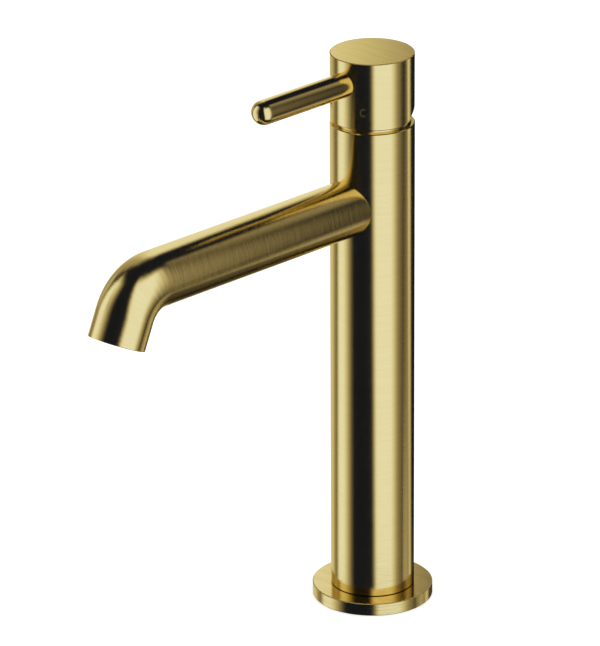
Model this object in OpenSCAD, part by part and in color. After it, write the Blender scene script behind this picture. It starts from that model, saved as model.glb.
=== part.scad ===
// Tall single-lever basin mixer, millimetres, +Z up.
// The origin is the centre of the base on the deck, and the spout points along -Y.
// A hollow column carries a valve block with a ceramic disc cartridge, a bent spout with a
// hidden aerator, and a handle head that turns for temperature and tilts for flow.

/* [Column and base] */
// Outside diameter of the column and of the handle head
column_d = 45; // [44:0.5:50]
// Wall thickness of the column tube
column_wall = 2.5; // [2:0.25:3]
// Depth of the counterbore that seats the valve block in the column's wall
counterbore = 0.75; // [0.5:0.05:1]
// Width of the column's rim outside the cover ring's neck
rim_w = 2.1; // [2:0.1:2.5]
// Height of the shadow groove at the column's foot
foot_groove = 0.4; // [0.2:0.1:0.8]
// Height from the deck to the top of the handle head
total_h = 309.5; // [290:0.5:340]
// Diameter of the base flange
flange_d = 65; // [62:1:80]
// Thickness of the base flange
flange_h = 7; // [5:0.5:10]
// Height of the flange's spigot inside the column
spigot_h = 15; // [12:0.5:25]

/* [Base fixings] */
// Radius of each of the two rounds that make the hose opening
hose_hole_r = 6.5; // [6:0.25:7]
// Distance between the centres of the two hoses
hose_spacing = 16; // [15:0.5:17]
// Distance between the two fixing studs
stud_spacing = 25; // [24:0.5:27]
// Diameter of the fixing studs' thread
stud_d = 6; // [5:1:8]
// Depth of the fixing studs' holes
stud_depth = 16; // [10:1:18]
// Diameter of the two long screws that tie the flange to the valve block
tie_d = 4; // [3:0.5:4]
// Diameter of the tie screws' heads
tie_head_d = 7; // [6:0.5:7]
// Depth of the tie screws' thread in the valve block
tie_grip = 8; // [6:0.5:8]
// Inside diameter of the deck seal
seal_d = 52; // [48:1:54]
// Radial width of the deck seal
seal_w = 4; // [3:0.5:5]
// Height of the deck seal
seal_h = 2; // [1.5:0.25:3]

/* [Spout] */
// Outside diameter of the spout tube
spout_d = 30.3; // [26:0.1:32]
// Wall thickness of the spout tube
spout_wall = 1.5; // [1:0.25:2]
// Depth of the spout's axis below the column's top
spout_drop = 44; // [42:0.5:70]
// Length from the column's axis to the start of the bend
spout_run = 161.5; // [80:0.5:220]
// Radius of the bend along the spout's axis
bend_r = 22.5; // [20:0.5:60]
// Angle that the spout turns down
bend_angle = 66; // [50:1:90]
// Straight length after the bend
spout_tip = 15.5; // [10:0.5:30]
// Radius of the water passage through the column's wall
port_r = 10; // [8:0.5:11]

/* [Aerator] */
// Thread diameter of the aerator cage
aerator_d = 24; // [22:0.5:24]
// Height of the aerator cage
aerator_h = 6.5; // [6.25:0.25:7]
// Depth of the aerator above the spout's rim
aerator_recess = 1; // [0.5:0.25:1.5]
// Wall of the aerator cage
cage_wall = 1.6; // [1.2:0.1:2]
// Across-flats size of a honeycomb cell
cell_size = 2.6; // [2.2:0.1:3]
// Wall between honeycomb cells
cell_wall = 0.5; // [0.4:0.1:0.8]

/* [Handle] */
// Diameter of the handle head
head_d = 44.7; // [44.2:0.1:45]
// Height of the handle head
head_h = 36.5; // [34:0.5:40]
// Gap between the column and the handle head
head_gap = 2; // [1.8:0.1:2.4]
// Wall thickness of the handle head
head_wall = 3; // [2:0.25:4]
// Thickness of the handle head's top
head_top = 5.5; // [3:0.5:6]
// Diameter of the lever bar
lever_d = 13.2; // [9:0.2:14]
// Length from the column's axis to the tip of the lever
lever_reach = 87; // [60:0.5:120]
// Depth of the lever's axis below the head's top
lever_drop = 13.25; // [12.5:0.25:14.5]
// Radius that rounds the lever's tip
lever_round = 6; // [2:0.2:6.4]
// Diameter of the lever's threaded tail
lever_tail_d = 8; // [6:0.5:8.5]
// Angle that the lever lifts from closed to full flow
lift_angle = 25; // [20:1:25]
// Angle that the handle turns from the middle to full hot or full cold
turn_angle = 45; // [30:1:50]
// Diameter of the screw that clamps the head on the spindle
clamp_d = 5; // [4:0.5:5]

/* [Cartridge] */
// Diameter of the cartridge
cartridge_d = 35; // [34:0.25:35.5]
// Height of the cartridge above its seat
cartridge_h = 35; // [35:0.25:36]
// Height of the cartridge's lower plate
cartridge_base_h = 6; // [5.5:0.25:6]
// Thickness of the fixed ceramic disc
fixed_disc_h = 4; // [3.5:0.25:4]
// Thickness of the moving ceramic disc
moving_disc_h = 3.5; // [3:0.25:3.5]
// Diameter of the moving ceramic disc
moving_disc_d = 23; // [21:0.5:24]
// Height of the lift pivot above the cartridge's seat
pivot_h = 29; // [28.75:0.25:29.25]
// Length of the spindle's lower arm, from the pivot to its ball
arm_l = 10; // [9.75:0.05:10.1]
// Diameter of the pivot pin
pin_d = 3; // [2:0.25:3.5]
// Width of the spindle's square stem
stem_w = 8; // [7:0.25:8]
// Length of the spindle's stem above the pivot
stem_l = 30; // [28:0.5:31]
// Thread diameter of the retaining nut
nut_d = 38.4; // [38:0.1:38.6]
// Thickness of the retaining nut's lip, and of the cover ring on it
lip_h = 2; // [1.5:0.1:2]

/* [Valve block] */
// Thread diameter of the hose ports
inlet_d = 10; // [8:0.5:11]
// Depth of the hose ports' thread
inlet_depth = 12; // [8:0.5:13]
// Length of the valve block below its water chamber
block_foot = 9.5; // [9:0.5:30]
// Radial depth of the water chamber round the valve block
chamber_depth = 4; // [3:0.25:4.5]
// Thickness between the water chamber and the cartridge's seat
seat_floor = 2.5; // [2:0.25:3]
// Thickness of the valve block's seal rings
seal_ring_d = 1.8; // [1.6:0.1:2]

/* [Hidden] */
$fn = 96;

// Fits
slip = 0.1;          // radial clearance of pieces that slide into each other
running = 0.05;      // radial clearance of a pin that turns
free = 0.3;          // clearance between pieces that move past each other
edge = 0.4;          // chamfer of the outside edges
eps = 1;             // how far a cutting tool runs past a face

// Colours
brushed_brass = [0.80, 0.70, 0.42];
raw_brass = [0.72, 0.60, 0.32];
black_rubber = [0.10, 0.10, 0.10];
white_plastic = [0.90, 0.90, 0.87];
grey_plastic = [0.55, 0.56, 0.58];
red_plastic = [0.70, 0.12, 0.10];
ceramic_white = [0.93, 0.92, 0.88];
steel = [0.70, 0.71, 0.73];

// Column and base
column_r = column_d / 2;
tube_bore_r = column_r - column_wall;
spigot_r = tube_bore_r - slip;
bore_r = tube_bore_r + counterbore;
insert_r = bore_r - slip;
flange_r = flange_d / 2;
stud_r = stud_d / 2;
head_bottom = total_h - head_h;
column_top = head_bottom - head_gap;
groove_depth = 0.6;  // depth of the shadow groove in the column's wall
spigot_top = flange_h + spigot_h;
spout_axis_h = column_top - spout_drop;
tie_r = tie_d / 2;
tie_head_r = tie_head_d / 2;
tie_place = [10, stud_spacing / 2];
tie_sink = 1;        // depth of the tie screws' heads above the deck

// Spout
spout_r = spout_d / 2;
spout_bore_r = spout_r - spout_wall;
outlet_reach = spout_run + bend_r * sin(bend_angle) + spout_tip * cos(bend_angle);
outlet_h = spout_axis_h - bend_r * (1 - cos(bend_angle)) - spout_tip * sin(bend_angle);

// Aerator, measured upwards from the spout's rim
aerator_r = aerator_d / 2;
cage_r = aerator_r - slip;
cage_bore_r = cage_r - cage_wall;
cage_top = aerator_recess + aerator_h;
grid_h = 2;          // height of the honeycomb grid
plate_h = 1;         // thickness of the screen and of the diffuser
washer_h = 1.2;      // thickness of the washer
key_slot_w = 3;      // width of the key slots in the cage and of the spanner slots
screen_hole_d = 1.3;
screen_pitch = 2.1;
jet_d = 1.5;         // diameter of the diffuser's jets
jet_rows = [[0.35, 6], [0.7, 12]];   // share of the cage's bore, and number of jets

// Cartridge levels, from its seat up to the cover ring
seat_z = column_top - 2 * lip_h - cartridge_h;
cartridge_top = seat_z + cartridge_h;
nut_top = cartridge_top + lip_h;
base_top = seat_z + cartridge_base_h;
fixed_top = base_top + fixed_disc_h;
moving_top = fixed_top + moving_disc_h;
pivot_z = seat_z + pivot_h;
ball_z = pivot_z - arm_l;
ball_r = 3.5;
socket_r = ball_r + 2 * slip;
socket_floor = ball_z - ball_r - 2 * free;
guide_rise = 3;      // height of the guide's underside above the ball's centre
guide_bottom = ball_z + guide_rise;
carrier_top = guide_bottom - free;

// Cartridge radii
cartridge_r = cartridge_d / 2;
pocket_r = cartridge_r + slip;
housing_wall = 2.2;
guide_step = 1.15;   // how much narrower the housing is round the guide
neck_step = 2;       // and how much narrower again round the guide's neck
disc_bore_r = cartridge_r - housing_wall;
guide_bore_r = disc_bore_r - guide_step;
guide_r = guide_bore_r - slip;
neck_bore_r = guide_bore_r - neck_step;
neck_r = neck_bore_r - slip;
guide_shoulder = cartridge_top - lip_h;
moving_disc_r = moving_disc_d / 2;
disc_travel = arm_l * sin(lift_angle);
disc_offset = disc_travel / 2;   // the moving disc starts this far behind the axis
carrier_flat = 1.5;  // depth of the flats at the carrier's sides
carrier_half_w = moving_disc_r - carrier_flat;
skirt_inner = carrier_half_w + free;
hollow_rim = 2;      // width of the moving disc's face round its hollow
hollow_front = 2;    // reach of the hollow in front of the disc's centre
notch_r = 1.5;       // radius of the notches that key the fixed disc

// Ports in the cartridge's seat: two inlets in front of the axis and the outlet behind it
inlet_port = [7.2, -3.5];
inlet_port_r = 3.2;
outlet_port = [0, 8.5];
outlet_port_r = 3.6;
sleeve_wall = 1;
peg_place = [12.5, -6.5];
peg_r = 2;
peg_h = 3;

// Spindle
stem_half = stem_w / 2;
hub_r = 4.6;
hub_half_w = 4.5;
arm_r = 2.4;
slot_half_w = hub_half_w + free;
swing_play = 1.1;    // play in front of the ball at the end of its swing
slot_front = (pivot_z - guide_bottom) * tan(lift_angle) + ball_r + swing_play;
slot_rear = (cartridge_top + lip_h - pivot_z) * tan(lift_angle) + stem_half / cos(lift_angle)
    + free;
pin_r = pin_d / 2;
pin_inset = 2.5;     // how far the pin's ends lie inside the guide
pin_half_l = guide_r - pin_inset;

// Limiter ring and its two stops on the housing
lug_w = 4;
lug_r = guide_r - free;
collar_r = (neck_r + lug_r) / 2;
limiter_h = lip_h - free;
stop_play = 1;       // angle left between the lug and a stop at the end of the turn
stop_from = turn_angle + asin(lug_w / 2 / collar_r) + stop_play;
stop_span = 15;

// Nut and cover
nut_r = nut_d / 2;
nut_skirt = 8;
nut_play = 0.5;      // radial clearance between the nut's lip and the guide
nut_bore_r = guide_bore_r + nut_play;
cover_bore_r = guide_r;
cover_neck_r = column_r - rim_w;
cover_neck_wall = 1.6;
cover_top = column_top + head_gap - free - slip * 2;
mouth_r = cover_neck_r + free;   // the head's mouth, which passes over the neck
mouth_h = 3;
spanner_depth = 2;   // depth of the spanner slots in the valve block

// Valve block
port_margin = 2;     // how far the water chamber reaches below the spout's port
ring_margin = 3.5;   // distance of the seal rings from the chamber and the port
chamber_top = seat_z - seat_floor;
chamber_bottom = spout_axis_h - port_r - port_margin;
block_bottom = chamber_bottom - block_foot;
waist_r = insert_r - chamber_depth;
inlet_x = hose_spacing / 2;
inlet_r = inlet_d / 2;
inlet_overlap = 2;   // how far the ports' drillings start below the ports' ends
seal_ring_r = seal_ring_d / 2;
seal_ring_centre = bore_r - seal_ring_r;
upper_ring_z = max(chamber_top, spout_axis_h + port_r) + ring_margin;
seal_ring_z = [chamber_bottom - ring_margin, upper_ring_z];

// Handle
head_r = head_d / 2;
cavity_r = head_r - head_wall;
cavity_top = total_h - head_top;
pivot_to_head = head_bottom - pivot_z;
tilt_gap = 0.8;        // clearance over the column's top with the lever lifted
relief_angle = lift_angle + 1;
relief_start = (head_gap - tilt_gap - pivot_to_head * (1 - cos(lift_angle)))
    / sin(lift_angle);
boss_r = 9;          // radius of the boss that takes the spindle
boss_rise = 5;       // height of the boss's end above the head's underside
boss_bottom = head_bottom + boss_rise;
socket_top = pivot_z + stem_l + 2 * free;
lever_z = total_h - lever_drop;
lever_r = lever_d / 2;
tip_round = min(lever_round, lever_r - free);
lever_tail_r = lever_tail_d / 2;
tail_end = stem_half + slip;
lever_root = cavity_r + slip;
clamp_r = clamp_d / 2;
clamp_drop = 3;      // depth of the clamp screw's axis below the stem's top
clamp_z = pivot_z + stem_l - clamp_drop;
clamp_l = 6;
clamp_key = 2.5;     // across flats of the clamp screw's socket
access_r = clamp_r + free;
plug_l = 4;

// A ring that stands on z = 0, with chamfers on its outer edges
module ring(outer, inner, h, top_edge = 0, bottom_edge = 0) {
    rotate_extrude()
        polygon([
            [inner, 0],
            [outer - bottom_edge, 0],
            if (bottom_edge > 0) [outer, bottom_edge],
            if (top_edge > 0) [outer, h - top_edge],
            [outer - top_edge, h],
            [inner, h],
        ]);
}

// A disc or shaft that stands on z = 0, with chamfers on its edges
module disc(r, h, top_edge = 0, bottom_edge = 0) {
    ring(r, 0, h, top_edge, bottom_edge);
}

// Places children at both sides of the middle plane
module both_sides(place) {
    for (side = [-1, 1])
        translate([side * place[0], place[1], 0]) children();
}

// The two inlets and the outlet of the cartridge, each as a cylinder grown by a margin
module seat_ports(z, h, grow = 0) {
    translate([0, 0, z]) {
        both_sides(inlet_port) cylinder(r = inlet_port_r + grow, h = h);
        translate(outlet_port) cylinder(r = outlet_port_r + grow, h = h);
    }
}

// Places children at the spout's rim, with +Z pointing up into the spout
module at_outlet() {
    translate([0, -outlet_reach, outlet_h])
        rotate([bend_angle - 90, 0, 0]) children();
}

// Centres of the hexagonal cells that fit in a circle
function hex_cells(pitch, limit) = [
    for (i = [-6:6], j = [-6:6])
        let (p = [pitch * (i + j / 2), pitch * j * sqrt(3) / 2])
        if (norm(p) <= limit) p
];

// Base flange: the rosette on the deck and the spigot that screws into the column
module base_flange() {
    color(brushed_brass)
    difference() {
        union() {
            disc(flange_r, flange_h, edge, edge);
            disc(spigot_r, spigot_top, edge);
        }
        hose_opening();
        tie_holes();
        for (side = [-1, 1])
            translate([0, side * stud_spacing / 2, -eps])
                cylinder(r = stud_r, h = stud_depth + eps);
        translate([0, 0, -eps])
            ring(seal_d / 2 + seal_w, seal_d / 2, seal_h + eps);
    }
}

// Clearance holes of the tie screws, sunk from below for their heads
module tie_holes() {
    head_top = tie_sink + tie_d;
    at_ties() translate([0, 0, -eps]) {
        cylinder(r = tie_r + slip, h = spigot_top + 2 * eps);
        cylinder(r = tie_head_r + free, h = head_top + eps);
    }
}

// Places children at the two tie screws, one on each side of both planes
module at_ties() {
    for (side = [-1, 1])
        translate(side * tie_place) children();
}

// The long opening that both hoses pass
module hose_opening() {
    through = spigot_top + 2 * eps;
    translate([0, 0, -eps]) {
        both_sides([inlet_x, 0]) cylinder(r = hose_hole_r, h = through);
        translate([-inlet_x, -hose_hole_r, 0])
            cube([hose_spacing, 2 * hose_hole_r, through]);
    }
}

// Deck seal: the rubber ring in the groove under the flange
module base_seal() {
    color(black_rubber) ring(seal_d / 2 + seal_w, seal_d / 2, seal_h);
}

// Tie screws: two long socket screws that hold the flange, the column and the block together
module tie_screws() {
    tie_top = block_bottom + tie_grip;
    key_r = tie_d * 0.75 / sqrt(3);
    color(steel)
    at_ties() translate([0, 0, tie_sink])
    difference() {
        union() {
            disc(tie_head_r, tie_d, 0, edge / 2);
            disc(tie_r, tie_top - tie_sink, edge);
        }
        translate([0, 0, -eps]) cylinder(r = key_r, h = tie_d / 2 + eps, $fn = 6);
    }
}

// Column: the tube, counterbored from the top, with the water passage to the spout
module column_tube() {
    color(brushed_brass)
    difference() {
        translate([0, 0, flange_h])
            ring(column_r, tube_bore_r, column_top - flange_h, edge);
        translate([0, 0, flange_h - eps])
            ring(column_r + eps, column_r - groove_depth, foot_groove + eps);
        translate([0, 0, block_bottom]) cylinder(r = bore_r, h = total_h);
        translate([0, 0, spout_axis_h]) rotate([90, 0, 0])
            cylinder(r = port_r, h = column_r + eps);
    }
}

// Valve block: the brass insert that seats the cartridge and takes the hoses
module valve_block() {
    thread_z = cartridge_top - nut_skirt - free;
    color(raw_brass)
    difference() {
        translate([0, 0, block_bottom]) disc(insert_r, nut_top - block_bottom, edge, edge);
        translate([0, 0, seat_z]) cylinder(r = pocket_r, h = nut_top - seat_z + eps);
        translate([0, 0, thread_z]) cylinder(r = nut_r, h = nut_top - thread_z + eps);
        water_chamber();
        hose_ports();
        outlet_drilling();
        both_sides(peg_place)
            translate([0, 0, seat_z - peg_h - free])
                cylinder(r = peg_r + slip, h = peg_h + free + eps);
        at_ties() translate([0, 0, block_bottom - eps])
            cylinder(r = tie_r, h = tie_grip + free + eps);
        for (z = seal_ring_z) seal_groove(z);
        spanner_slots(nut_top, insert_r, spanner_depth);
    }
}

// The ring of space round the block that leads the mixed water to the spout
module water_chamber() {
    translate([0, 0, chamber_bottom])
        ring(insert_r + eps, waist_r, chamber_top - chamber_bottom);
}

// Threaded ports for the hoses, and the drillings from them up to the cartridge
module hose_ports() {
    both_sides([inlet_x, 0])
        translate([0, 0, block_bottom - eps]) cylinder(r = inlet_r, h = inlet_depth + eps);
    joint_z = block_bottom + inlet_depth - inlet_overlap;
    both_sides(inlet_port)
        translate([0, 0, joint_z]) cylinder(r = inlet_port_r, h = seat_z - joint_z + eps);
}

// The drilling that takes the mixed water from the seat back into the chamber
module outlet_drilling() {
    turn_z = (chamber_bottom + chamber_top) / 2;
    translate([outlet_port[0], outlet_port[1], turn_z]) {
        cylinder(r = outlet_port_r, h = seat_z - turn_z + eps);
        rotate([-90, 0, 0]) cylinder(r = outlet_port_r, h = insert_r);
    }
}

module seal_groove(z) {
    half_h = seal_ring_r + slip;
    translate([0, 0, z - half_h])
        ring(insert_r + eps, bore_r - seal_ring_d, 2 * half_h);
}

// Two slots across a top rim, for a pin spanner
module spanner_slots(top, r, depth) {
    for (turn = [0, 90])
        rotate([0, 0, turn])
            translate([-r - eps, -key_slot_w / 2, top - depth])
                cube([2 * (r + eps), key_slot_w, depth + eps]);
}

// Seal rings above and below the water chamber
module block_seals() {
    color(black_rubber)
    for (z = seal_ring_z)
        translate([0, 0, z]) rotate_extrude() translate([seal_ring_centre, 0])
            circle(r = seal_ring_r);
}

// Spout: a straight tube cut to the column's round, and its bend
module spout_tube() {
    color(brushed_brass) {
        difference() {
            translate([0, 0, spout_axis_h]) rotate([90, 0, 0])
                ring(spout_r, spout_bore_r, spout_run);
            cylinder(r = column_r, h = total_h);
        }
        translate([0, -spout_run, spout_axis_h - bend_r]) rotate([0, -90, 180])
            rotate_extrude(angle = bend_angle) translate([bend_r, 0]) spout_section();
    }
}

module spout_section() {
    difference() {
        circle(r = spout_r);
        circle(r = spout_bore_r);
    }
}

// Outlet sleeve: the turned tip brazed on the bend, tapped for the aerator
module outlet_sleeve() {
    washer_seat = cage_top + washer_h;
    color(brushed_brass)
    at_outlet()
    difference() {
        ring(spout_r, cage_bore_r, spout_tip, 0, edge / 2);
        translate([0, 0, -eps]) cylinder(r = aerator_r, h = washer_seat + eps);
    }
}

// Aerator washer: the rubber ring on top of the cage
module aerator_washer() {
    color(black_rubber)
    at_outlet() translate([0, 0, cage_top]) ring(aerator_r, cage_bore_r, washer_h);
}

// Aerator cage: the threaded sleeve, with two key slots in its rim
module aerator_cage() {
    color(grey_plastic)
    at_outlet()
    difference() {
        translate([0, 0, aerator_recess]) ring(cage_r, cage_bore_r, aerator_h);
        for (turn = [0, 90])
            rotate([0, 0, turn])
                translate([-aerator_r, -key_slot_w / 2, aerator_recess - eps])
                    cube([aerator_d, key_slot_w, plate_h + eps]);
    }
}

// Aerator screen: the strainer that the water meets first
module aerator_screen() {
    color(steel)
    at_outlet() translate([0, 0, cage_top - plate_h])
    difference() {
        cylinder(r = cage_bore_r, h = plate_h);
        for (p = hex_cells(screen_pitch, cage_bore_r - screen_hole_d))
            translate([p[0], p[1], -eps]) cylinder(d = screen_hole_d, h = plate_h + 2 * eps);
    }
}

// Aerator diffuser: the plate whose jets draw in air
module aerator_diffuser() {
    color(white_plastic)
    at_outlet() translate([0, 0, (aerator_recess + cage_top) / 2])
    difference() {
        cylinder(r = cage_bore_r, h = plate_h);
        for (row = jet_rows, k = [1:row[1]])
            rotate([0, 0, 360 * k / row[1]])
                translate([row[0] * cage_bore_r, 0, -eps])
                    cylinder(d = jet_d, h = plate_h + 2 * eps);
    }
}

// Aerator grid: the honeycomb that straightens the jet
module aerator_grid() {
    cell_r = cell_size / sqrt(3);
    color(white_plastic)
    at_outlet() translate([0, 0, aerator_recess])
    difference() {
        cylinder(r = cage_bore_r, h = grid_h);
        for (p = hex_cells(cell_size + cell_wall, cage_bore_r - cell_r - cell_wall))
            translate([p[0], p[1], -eps]) rotate([0, 0, 30])
                cylinder(r = cell_r, h = grid_h + 2 * eps, $fn = 6);
    }
}

// Cartridge base: the plate that closes the housing from below
module cartridge_base() {
    foot_h = cartridge_base_h / 2;
    color(grey_plastic)
    difference() {
        translate([0, 0, seat_z]) {
            disc(cartridge_r, foot_h, 0, edge);
            cylinder(r = disc_bore_r - slip, h = cartridge_base_h);
            both_sides(peg_place) translate([0, 0, -peg_h]) cylinder(r = peg_r, h = peg_h + eps);
        }
        seat_ports(seat_z - eps, cartridge_base_h + 2 * eps);
    }
}

// Port seals: the rubber sleeves through the cartridge's base
module port_seals() {
    color(black_rubber)
    difference() {
        seat_ports(seat_z, cartridge_base_h);
        seat_ports(seat_z - eps, cartridge_base_h + 2 * eps, -sleeve_wall);
    }
}

// Fixed disc: the lower ceramic disc, with a hole over each port
module fixed_disc() {
    color(ceramic_white)
    difference() {
        translate([0, 0, base_top]) cylinder(r = disc_bore_r - free, h = fixed_disc_h);
        seat_ports(base_top - eps, fixed_disc_h + 2 * eps, -sleeve_wall);
        both_sides([disc_bore_r, 0])
            translate([0, 0, base_top - eps]) cylinder(r = notch_r, h = fixed_disc_h + 2 * eps);
    }
}

// Moving disc: the upper ceramic disc, whose hollow joins the inlets to the outlet
module moving_disc() {
    hollow_h = moving_disc_h / 2;
    hollow_r = moving_disc_r - hollow_rim;
    color(ceramic_white)
    translate([0, disc_offset, fixed_top])
    difference() {
        cylinder(r = moving_disc_r, h = moving_disc_h);
        intersection() {
            translate([0, 0, -eps]) cylinder(r = hollow_r, h = hollow_h + eps);
            translate([-hollow_r, -hollow_front, -eps])
                cube([2 * hollow_r, 2 * hollow_r, hollow_h + eps]);
        }
    }
}

// Disc carrier: holds the moving disc and takes the spindle's ball
module disc_carrier() {
    color(white_plastic)
    difference() {
        intersection() {
            translate([0, disc_offset, moving_top])
                cylinder(r = moving_disc_r, h = carrier_top - moving_top);
            translate([-carrier_half_w, -cartridge_r, moving_top])
                cube([2 * carrier_half_w, cartridge_d, cartridge_h]);
        }
        translate([0, 0, socket_floor]) cylinder(r = socket_r, h = cartridge_h);
    }
}

// Cartridge housing: the outer sleeve that holds the discs and the guide
module cartridge_housing() {
    foot_top = seat_z + cartridge_base_h / 2;
    color(grey_plastic) {
        rotate_extrude()
            polygon([
                [disc_bore_r, foot_top],
                [cartridge_r, foot_top],
                [cartridge_r, cartridge_top - edge],
                [cartridge_r - edge, cartridge_top],
                [neck_bore_r, cartridge_top],
                [neck_bore_r, guide_shoulder],
                [guide_bore_r, guide_shoulder],
                [guide_bore_r, carrier_top],
                [disc_bore_r, carrier_top],
            ]);
        for (start = [stop_from, -stop_from - stop_span])
            rotate([0, 0, 90 + start]) turn_stop();
    }
}

// One of the two ribs on the housing's top that stop the limiter's lug
module turn_stop() {
    inner = collar_r + free;
    translate([0, 0, cartridge_top - eps])
        rotate_extrude(angle = stop_span)
            translate([inner, 0]) square([guide_r - inner, limiter_h + eps]);
}

// Spindle guide: turns in the housing and carries the lift pivot
module spindle_guide() {
    skirt_bottom = moving_top + free;
    slot_bottom = guide_bottom - eps;
    color(white_plastic)
    difference() {
        union() {
            translate([0, 0, guide_bottom])
                cylinder(r = guide_r, h = guide_shoulder - free - guide_bottom);
            translate([0, 0, guide_bottom]) cylinder(r = neck_r, h = nut_top - guide_bottom);
            difference() {
                translate([0, 0, skirt_bottom])
                    cylinder(r = guide_r, h = guide_bottom - skirt_bottom);
                translate([-skirt_inner, -cartridge_r, skirt_bottom - eps])
                    cube([2 * skirt_inner, cartridge_d, guide_bottom - skirt_bottom + eps]);
            }
        }
        translate([-slot_half_w, -slot_front, slot_bottom])
            cube([2 * slot_half_w, slot_front + slot_rear, cartridge_h]);
        translate([0, 0, pivot_z]) rotate([0, 90, 0])
            cylinder(r = pin_r, h = 2 * pin_half_l, center = true);
    }
}

// Pivot pin: the cross pin that the spindle tilts on
module pivot_pin() {
    color(steel)
    translate([0, 0, pivot_z]) rotate([0, 90, 0])
        cylinder(r = pin_r, h = 2 * pin_half_l, center = true);
}

// Limiter ring: the red stop ring on the guide's neck
module limiter_ring() {
    color(red_plastic)
    translate([0, 0, cartridge_top])
    union() {
        ring(collar_r, neck_r, limiter_h);
        intersection() {
            ring(lug_r, neck_r, limiter_h);
            translate([-lug_w / 2, 0, 0]) cube([lug_w, lug_r + eps, limiter_h]);
        }
    }
}

// Retaining nut: presses the cartridge down on its seat
module retaining_nut() {
    nut_bottom = cartridge_top - nut_skirt;
    color(raw_brass)
    difference() {
        translate([0, 0, nut_bottom]) disc(nut_r, nut_top - nut_bottom);
        translate([0, 0, nut_bottom - eps]) cylinder(r = pocket_r, h = nut_skirt + eps);
        translate([0, 0, nut_bottom]) cylinder(r = nut_bore_r, h = cartridge_h);
        spanner_slots(nut_top, nut_r, lip_h / 2);
    }
}

// Cover ring: hides the nut, flush with the column's rim, with a neck that fills the gap
module cover_ring() {
    color(brushed_brass)
    union() {
        translate([0, 0, nut_top]) ring(insert_r, cover_bore_r, column_top - nut_top);
        translate([0, 0, nut_top])
            ring(cover_neck_r, cover_neck_r - cover_neck_wall, cover_top - nut_top, slip);
    }
}

// Spindle: the square stem that the handle clamps on, its hub and its lower ball
module spindle() {
    color(raw_brass)
    difference() {
        union() {
            translate([-stem_half, -stem_half, pivot_z]) cube([stem_w, stem_w, stem_l]);
            translate([0, 0, pivot_z]) rotate([0, 90, 0])
                cylinder(r = hub_r, h = 2 * hub_half_w, center = true);
            translate([0, 0, ball_z]) cylinder(r = arm_r, h = arm_l);
            translate([0, 0, ball_z]) sphere(r = ball_r);
        }
        translate([0, 0, pivot_z]) rotate([0, 90, 0])
            cylinder(r = pin_r + running, h = 2 * (hub_half_w + eps), center = true);
    }
}

// Handle head: the hollow cap, cut away behind so that it can tilt back
module handle_head() {
    socket_half = stem_half + slip;
    color(brushed_brass)
    difference() {
        translate([0, 0, head_bottom]) disc(head_r, head_h, edge, edge);
        translate([0, 0, head_bottom - eps]) cylinder(r = mouth_r, h = mouth_h + eps);
        difference() {
            translate([0, 0, head_bottom - eps])
                cylinder(r = cavity_r, h = cavity_top - head_bottom + eps);
            translate([0, 0, boss_bottom]) cylinder(r = boss_r, h = head_h);
        }
        translate([-socket_half, -socket_half, boss_bottom - eps])
            cube([2 * socket_half, 2 * socket_half, socket_top - boss_bottom + eps]);
        tilt_relief();
        lever_hole();
        clamp_hole();
    }
}

// The slanted cut behind the head's axis
module tilt_relief() {
    reach = 2 * column_d;
    translate([-reach / 2, relief_start, head_bottom]) rotate([relief_angle, 0, 0])
        translate([0, 0, -reach]) cube([reach, reach, reach]);
}

// The seat of the lever in the front wall, and the tapped hole in the boss
module lever_hole() {
    translate([0, 0, lever_z]) rotate([90, 0, 0]) {
        translate([0, 0, boss_r]) cylinder(r = lever_r, h = column_r);
        translate([0, 0, tail_end]) cylinder(r = lever_tail_r, h = column_r);
    }
}

// The tapped hole of the clamp screw, and its access hole in the rear wall
module clamp_hole() {
    translate([0, 0, clamp_z]) rotate([-90, 0, 0]) {
        cylinder(r = clamp_r, h = column_r);
        translate([0, 0, boss_r]) cylinder(r = access_r, h = column_r);
    }
}

// Lever bar: the round bar with its softly rounded tip and threaded tail
module lever_bar() {
    tip_start = lever_reach - tip_round;
    color(brushed_brass)
    translate([0, 0, lever_z]) rotate([90, 0, 0]) {
        translate([0, 0, tail_end]) cylinder(r = lever_tail_r, h = column_r);
        translate([0, 0, lever_root]) cylinder(r = lever_r, h = tip_start - lever_root);
        translate([0, 0, tip_start]) {
            cylinder(r = lever_r - tip_round, h = tip_round);
            rotate_extrude() translate([lever_r - tip_round, 0])
                intersection() {
                    circle(r = tip_round);
                    square(tip_round);
                }
        }
    }
}

// Clamp screw: the socket screw that holds the head on the spindle
module clamp_screw() {
    key_depth = clamp_l / 2;
    color(steel)
    translate([0, stem_half, clamp_z]) rotate([-90, 0, 0])
    difference() {
        cylinder(r = clamp_r, h = clamp_l);
        translate([0, 0, clamp_l - key_depth])
            cylinder(r = clamp_key / sqrt(3), h = key_depth + eps, $fn = 6);
    }
}

// Screw plug: the cap that closes the access hole, flush with the head
module screw_plug() {
    color(brushed_brass)
    intersection() {
        translate([0, head_r - plug_l, clamp_z]) rotate([-90, 0, 0])
            cylinder(r = access_r, h = plug_l + eps);
        cylinder(r = head_r, h = total_h);
    }
}

base_flange();
base_seal();
tie_screws();
column_tube();
valve_block();
block_seals();
spout_tube();
outlet_sleeve();
aerator_washer();
aerator_cage();
aerator_screen();
aerator_diffuser();
aerator_grid();
cartridge_base();
port_seals();
fixed_disc();
cartridge_housing();
retaining_nut();
cover_ring();
spindle_guide();
pivot_pin();
limiter_ring();
disc_carrier();
moving_disc();
spindle();
handle_head();
lever_bar();
clamp_screw();
screw_plug();
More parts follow.
